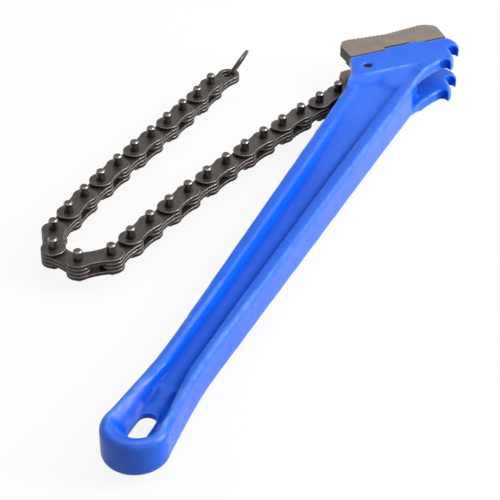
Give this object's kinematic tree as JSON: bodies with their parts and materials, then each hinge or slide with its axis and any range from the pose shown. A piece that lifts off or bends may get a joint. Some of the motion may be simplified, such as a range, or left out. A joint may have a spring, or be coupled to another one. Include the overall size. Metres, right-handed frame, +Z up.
{
  "type": "chain pipe wrench",
  "caption": "Chain pipe wrench: painted I-section handle with a forked head, toothed steel jaws, hook teeth and a hinged plate chain with a pull ring.",
  "frame": {"origin": "on the flat underside of the head, below the middle of its pad", "axes": "+Z up with the wrench lying flat, +Y along the handle towards the jaws, +X to the side with the hook teeth"},
  "size_m": [0.1648, 0.4592, 0.0305],
  "materials": {
    "paint": "glossy blue paint on a casting",
    "jaw_steel": "brown-grey hardened steel, matt",
    "plate_steel": "dark oiled steel",
    "pin_steel": "turned steel with bright chamfers",
    "ring_wire": "dark drawn wire"
  },
  "bodies": {
    "wrench": {"handle": "paint", "upper_jaw": "jaw_steel", "lower_jaw": "jaw_steel", "anchor_pin": "pin_steel"},
    "anchor_link": {"anchor_link": "plate_steel"},
    "outer_link_01": {"outer_plates_01": "plate_steel", "link_pins_01": "pin_steel"},
    "inner_link_01": {"inner_plates_01": "plate_steel"},
    "outer_link_02": {"outer_plates_02": "plate_steel", "link_pins_02": "pin_steel"},
    "inner_link_02": {"inner_plates_02": "plate_steel"},
    "outer_link_03": {"outer_plates_03": "plate_steel", "link_pins_03": "pin_steel"},
    "inner_link_03": {"inner_plates_03": "plate_steel"},
    "outer_link_04": {"outer_plates_04": "plate_steel", "link_pins_04": "pin_steel"},
    "inner_link_04": {"inner_plates_04": "plate_steel"},
    "outer_link_05": {"outer_plates_05": "plate_steel", "link_pins_05": "pin_steel"},
    "inner_link_05": {"inner_plates_05": "plate_steel"},
    "outer_link_06": {"outer_plates_06": "plate_steel", "link_pins_06": "pin_steel"},
    "inner_link_06": {"inner_plates_06": "plate_steel"},
    "outer_link_07": {"outer_plates_07": "plate_steel", "link_pins_07": "pin_steel"},
    "inner_link_07": {"inner_plates_07": "plate_steel"},
    "outer_link_08": {"outer_plates_08": "plate_steel", "link_pins_08": "pin_steel"},
    "inner_link_08": {"inner_plates_08": "plate_steel"},
    "outer_link_09": {"outer_plates_09": "plate_steel", "link_pins_09": "pin_steel"},
    "inner_link_09": {"inner_plates_09": "plate_steel"},
    "outer_link_10": {"outer_plates_10": "plate_steel", "link_pins_10": "pin_steel"},
    "inner_link_10": {"inner_plates_10": "plate_steel"},
    "outer_link_11": {"outer_plates_11": "plate_steel", "link_pins_11": "pin_steel"},
    "inner_link_11": {"inner_plates_11": "plate_steel"},
    "outer_link_12": {"outer_plates_12": "plate_steel", "link_pins_12": "pin_steel"},
    "inner_link_12": {"inner_plates_12": "plate_steel"},
    "outer_link_13": {"outer_plates_13": "plate_steel", "link_pins_13": "pin_steel"},
    "end_link": {"end_link": "plate_steel"},
    "end_ring": {"end_ring": "ring_wire"}
  },
  "joints": [
    {"name": "anchor_hinge", "type": "hinge", "parent": "wrench", "child": "anchor_link", "pos_m": [-0.01424, -0.01925, 0.0134], "axis": [0, 0, 1], "range_deg": [-8, 6]},
    {"name": "chain_hinge_01", "type": "hinge", "parent": "anchor_link", "child": "outer_link_01", "pos_m": [-0.02743, -0.03859, 0.0134], "axis": [0, 0, -1], "range_deg": [-12, 12]},
    {"name": "chain_hinge_02", "type": "hinge", "parent": "outer_link_01", "child": "inner_link_01", "pos_m": [-0.03344, -0.05666, 0.0134], "axis": [0, 0, 1], "range_deg": [-14, 14]},
    {"name": "chain_hinge_03", "type": "hinge", "parent": "inner_link_01", "child": "outer_link_02", "pos_m": [-0.03915, -0.07483, 0.0134], "axis": [0, 0, -1], "range_deg": [-16, 16]},
    {"name": "chain_hinge_04", "type": "hinge", "parent": "outer_link_02", "child": "inner_link_02", "pos_m": [-0.04456, -0.0931, 0.0134], "axis": [0, 0, 1], "range_deg": [-18, 18]},
    {"name": "chain_hinge_05", "type": "hinge", "parent": "inner_link_02", "child": "outer_link_03", "pos_m": [-0.04967, -0.11145, 0.0134], "axis": [0, 0, -1], "range_deg": [-20, 20]},
    {"name": "chain_hinge_06", "type": "hinge", "parent": "outer_link_03", "child": "inner_link_03", "pos_m": [-0.05447, -0.12989, 0.0134], "axis": [0, 0, 1], "range_deg": [-22, 22]},
    {"name": "chain_hinge_07", "type": "hinge", "parent": "inner_link_03", "child": "outer_link_04", "pos_m": [-0.05897, -0.1484, 0.0134], "axis": [0, 0, -1], "range_deg": [-26, 26]},
    {"name": "chain_hinge_08", "type": "hinge", "parent": "outer_link_04", "child": "inner_link_04", "pos_m": [-0.06316, -0.16698, 0.0134], "axis": [0, 0, 1], "range_deg": [-24, 24]},
    {"name": "chain_hinge_09", "type": "hinge", "parent": "inner_link_04", "child": "outer_link_05", "pos_m": [-0.06703, -0.18563, 0.0134], "axis": [0, 0, -1], "range_deg": [-20, 20]},
    {"name": "chain_hinge_10", "type": "hinge", "parent": "outer_link_05", "child": "inner_link_05", "pos_m": [-0.07061, -0.20435, 0.0134], "axis": [0, 0, 1], "range_deg": [-18, 18]},
    {"name": "chain_hinge_11", "type": "hinge", "parent": "inner_link_05", "child": "outer_link_06", "pos_m": [-0.07386, -0.22312, 0.0134], "axis": [0, 0, -1], "range_deg": [-16, 16]},
    {"name": "chain_hinge_12", "type": "hinge", "parent": "outer_link_06", "child": "inner_link_06", "pos_m": [-0.07681, -0.24194, 0.0134], "axis": [0, 0, 1], "range_deg": [-14, 14]},
    {"name": "chain_hinge_13", "type": "hinge", "parent": "inner_link_06", "child": "outer_link_07", "pos_m": [-0.07945, -0.2608, 0.0134], "axis": [0, 0, -1], "range_deg": [-12, 12]},
    {"name": "chain_hinge_14", "type": "hinge", "parent": "outer_link_07", "child": "inner_link_07", "pos_m": [-0.09372, -0.27341, 0.0134], "axis": [0, 0, 1], "range_deg": [-12, 12]},
    {"name": "chain_hinge_15", "type": "hinge", "parent": "inner_link_07", "child": "outer_link_08", "pos_m": [-0.11216, -0.26863, 0.0134], "axis": [0, 0, -1], "range_deg": [-12, 12]},
    {"name": "chain_hinge_16", "type": "hinge", "parent": "outer_link_08", "child": "inner_link_08", "pos_m": [-0.12106, -0.25178, 0.0134], "axis": [0, 0, 1], "range_deg": [-12, 12]},
    {"name": "chain_hinge_17", "type": "hinge", "parent": "inner_link_08", "child": "outer_link_09", "pos_m": [-0.12164, -0.23274, 0.0134], "axis": [0, 0, -1], "range_deg": [-14, 14]},
    {"name": "chain_hinge_18", "type": "hinge", "parent": "outer_link_09", "child": "inner_link_09", "pos_m": [-0.12133, -0.2137, 0.0134], "axis": [0, 0, 1], "range_deg": [-15, 15]},
    {"name": "chain_hinge_19", "type": "hinge", "parent": "inner_link_09", "child": "outer_link_10", "pos_m": [-0.12029, -0.19467, 0.0134], "axis": [0, 0, -1], "range_deg": [-17, 17]},
    {"name": "chain_hinge_20", "type": "hinge", "parent": "outer_link_10", "child": "inner_link_10", "pos_m": [-0.11872, -0.17569, 0.0134], "axis": [0, 0, 1], "range_deg": [-20, 20]},
    {"name": "chain_hinge_21", "type": "hinge", "parent": "inner_link_10", "child": "outer_link_11", "pos_m": [-0.1168, -0.15674, 0.0134], "axis": [0, 0, -1], "range_deg": [-23, 23]},
    {"name": "chain_hinge_22", "type": "hinge", "parent": "outer_link_11", "child": "inner_link_11", "pos_m": [-0.11469, -0.1378, 0.0134], "axis": [0, 0, 1], "range_deg": [-26, 26]},
    {"name": "chain_hinge_23", "type": "hinge", "parent": "inner_link_11", "child": "outer_link_12", "pos_m": [-0.11258, -0.11887, 0.0134], "axis": [0, 0, -1], "range_deg": [-30, 30]},
    {"name": "chain_hinge_24", "type": "hinge", "parent": "outer_link_12", "child": "inner_link_12", "pos_m": [-0.11065, -0.09992, 0.0134], "axis": [0, 0, 1], "range_deg": [-30, 30]},
    {"name": "chain_hinge_25", "type": "hinge", "parent": "inner_link_12", "child": "outer_link_13", "pos_m": [-0.10908, -0.08093, 0.0134], "axis": [0, 0, -1], "range_deg": [-30, 30]},
    {"name": "chain_hinge_26", "type": "hinge", "parent": "outer_link_13", "child": "end_link", "pos_m": [-0.10805, -0.06191, 0.0134], "axis": [0, 0, 1], "range_deg": [-30, 30]},
    {"name": "ring_hinge", "type": "hinge", "parent": "end_link", "child": "end_ring", "pos_m": [-0.10412, -0.04189, 0.0134], "axis": [0.1787, 0.9098, 0.3746], "range_deg": [-60, 2]}
  ]
}
